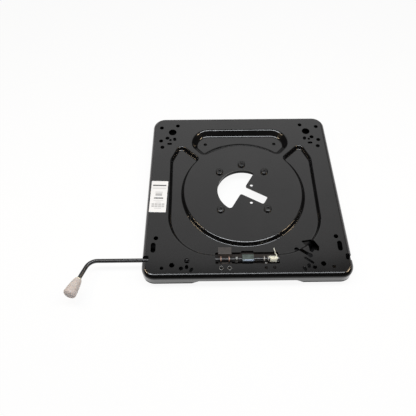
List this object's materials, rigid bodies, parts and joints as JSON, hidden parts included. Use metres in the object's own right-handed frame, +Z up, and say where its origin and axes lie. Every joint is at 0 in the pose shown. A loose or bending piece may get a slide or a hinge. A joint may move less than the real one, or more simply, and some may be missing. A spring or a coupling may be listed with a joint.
{
  "type": "swivel seat base",
  "caption": "Pressed black steel turntable plate for a camper seat, turning on a flat lower plate, with a side lever that lifts a toothed latch.",
  "frame": {"origin": "on the swivel axis at the underside of the lower plate", "axes": "+Z up along the swivel axis, +Y to the back of the seat, the lever comes out on -X"},
  "size_m": [0.5479, 0.446, 0.0489],
  "materials": {
    "black_coat": "semi-gloss black powder coat on pressed steel",
    "rod_coat": "satin black paint on steel rod",
    "bolt_black": "black oxide steel",
    "zinc_plate": "bright zinc plate",
    "ring_steel": "thin black paint on steel ring",
    "bracket_steel": "dull phosphated steel",
    "claw_steel": "grey-green phosphated steel",
    "spring_steel": "pale zinc-plated spring wire",
    "slide_plastic": "dark low-friction plastic",
    "knob_plastic": "pale pinkish moulded plastic"
  },
  "bodies": {
    "base": {"lower_plate": "black_coat", "upper_slide_ring": "slide_plastic", "lower_slide_ring": "slide_plastic"},
    "turntable": {"upper_plate": "black_coat", "hub_spacer": "ring_steel", "clamp_ring": "ring_steel", "hub_bolts": "bolt_black", "hub_washers": "zinc_plate", "hub_nuts": "zinc_plate", "left_rod_bracket": "bracket_steel", "bracket_rivets": "zinc_plate", "right_rod_bracket": "bracket_steel", "return_spring": "spring_steel"},
    "lever": {"lever_rod": "rod_coat", "lever_knob": "knob_plastic", "latch_claw": "claw_steel", "claw_pin": "claw_steel", "rod_collar": "zinc_plate", "collar_screw": "zinc_plate", "end_washer": "zinc_plate", "end_clip": "zinc_plate"}
  },
  "joints": [
    {"name": "swivel", "type": "hinge", "parent": "base", "child": "turntable", "pos_m": [0, 0, 0.03], "axis": [0, 0, 1], "continuous": true},
    {"name": "lever_turn", "type": "hinge", "parent": "turntable", "child": "lever", "pos_m": [0, -0.1592, 0.0288], "axis": [-1, 0, 0], "range_deg": [-14, 22], "stiffness_Nm_per_rad": 0.4, "springref_deg": -28.65, "deforming": ["return_spring"]}
  ]
}
